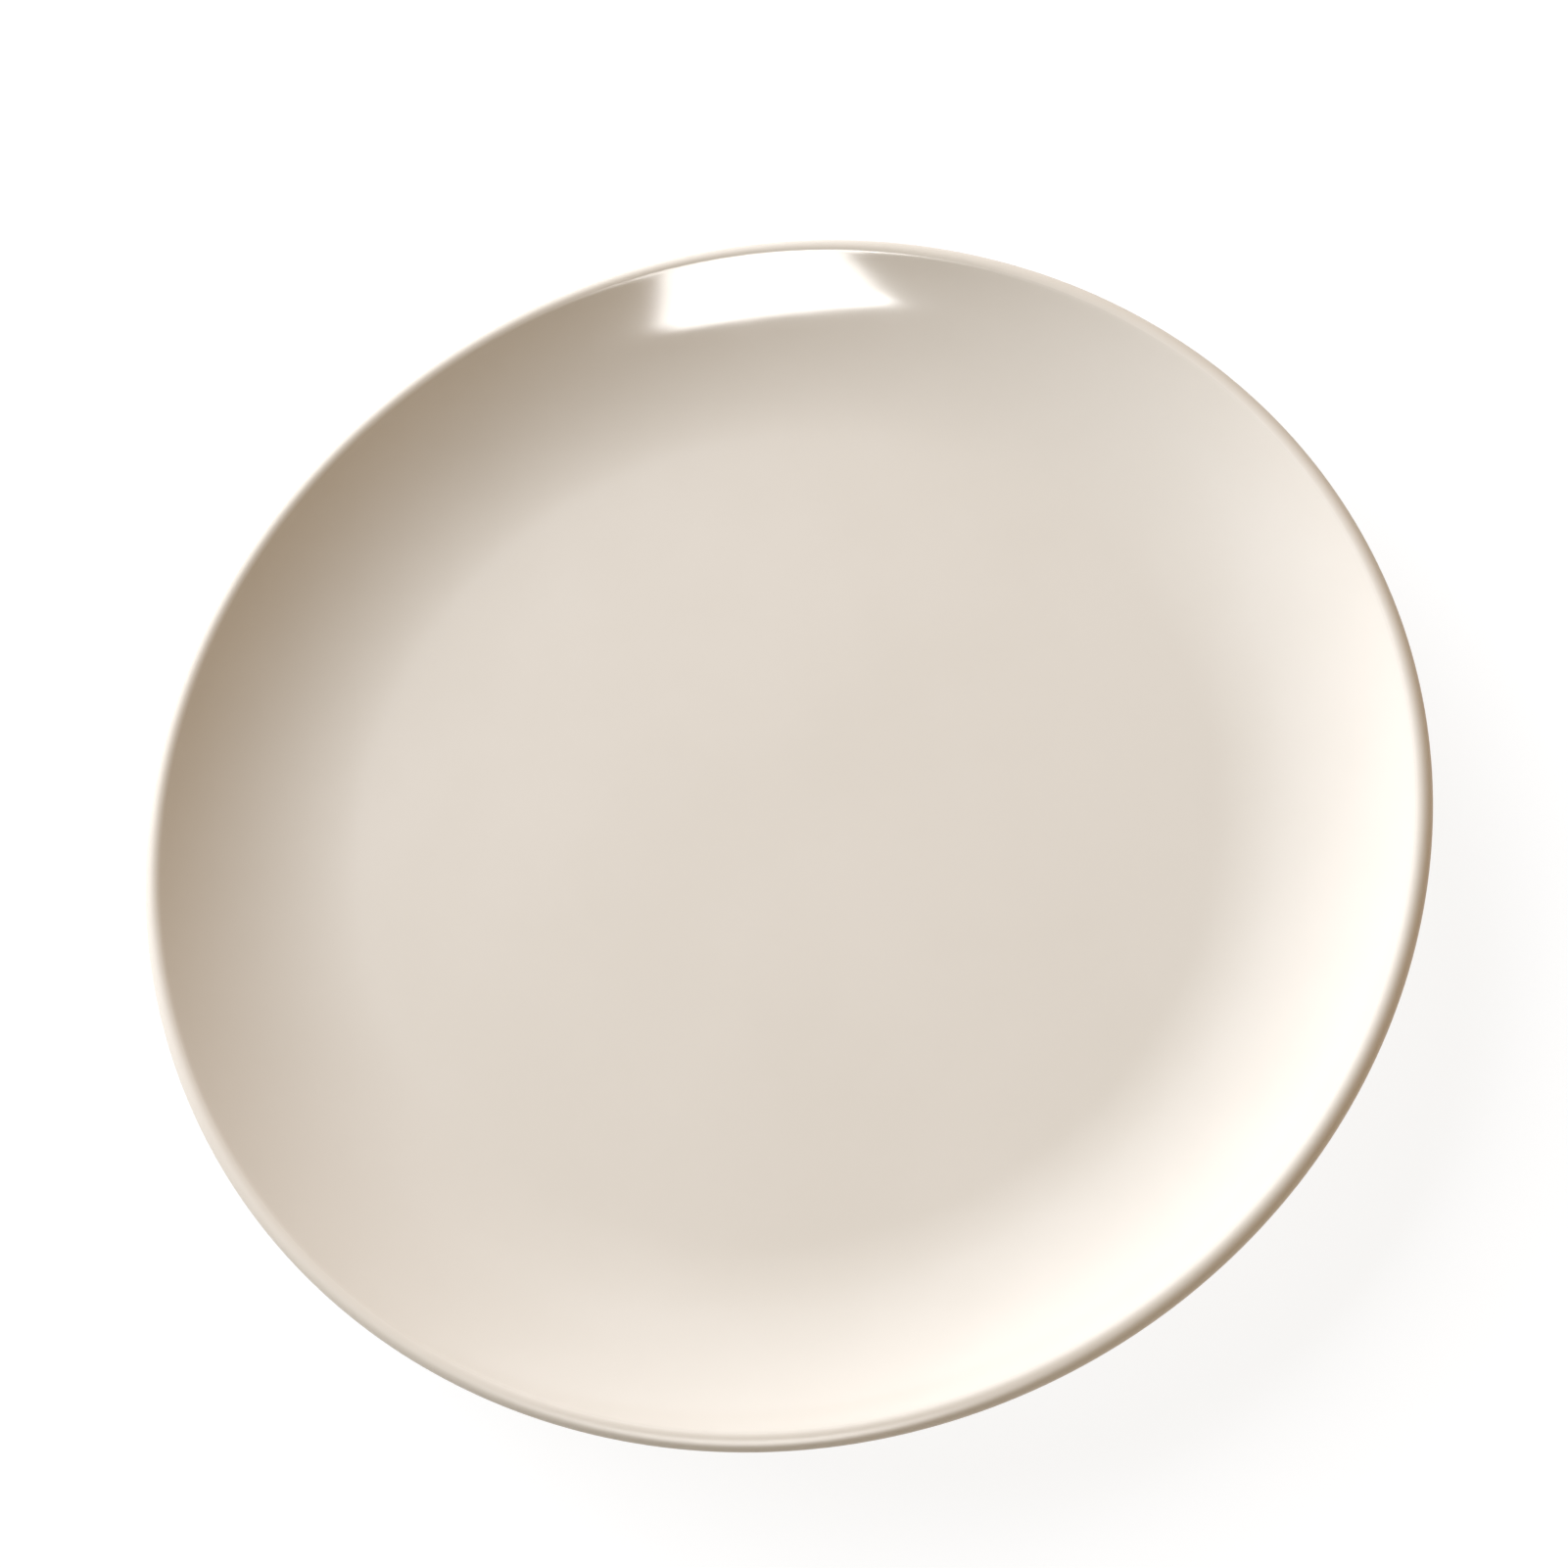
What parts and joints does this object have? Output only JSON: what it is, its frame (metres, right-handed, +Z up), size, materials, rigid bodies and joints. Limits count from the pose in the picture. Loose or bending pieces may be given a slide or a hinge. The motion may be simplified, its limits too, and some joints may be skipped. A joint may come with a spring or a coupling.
{
  "type": "fruit plate",
  "caption": "Round coupe plate of cream glazed ceramic with a flat well, a curved wall, a thin rounded lip and a bare foot ring, for serving fruit.",
  "frame": {"origin": "middle of the foot ring, on the surface that the plate stands on", "axes": "+Z up along the axis of the plate, out of the well"},
  "size_m": [0.2, 0.2, 0.0201],
  "materials": {
    "fired_clay": "bare fired clay, fine and slightly sandy",
    "cream_glaze": "smooth glossy cream glaze"
  },
  "bodies": {
    "root": {"clay_body": "fired_clay", "face_glaze": "cream_glaze", "base_glaze": "cream_glaze"}
  },
  "joints": []
}
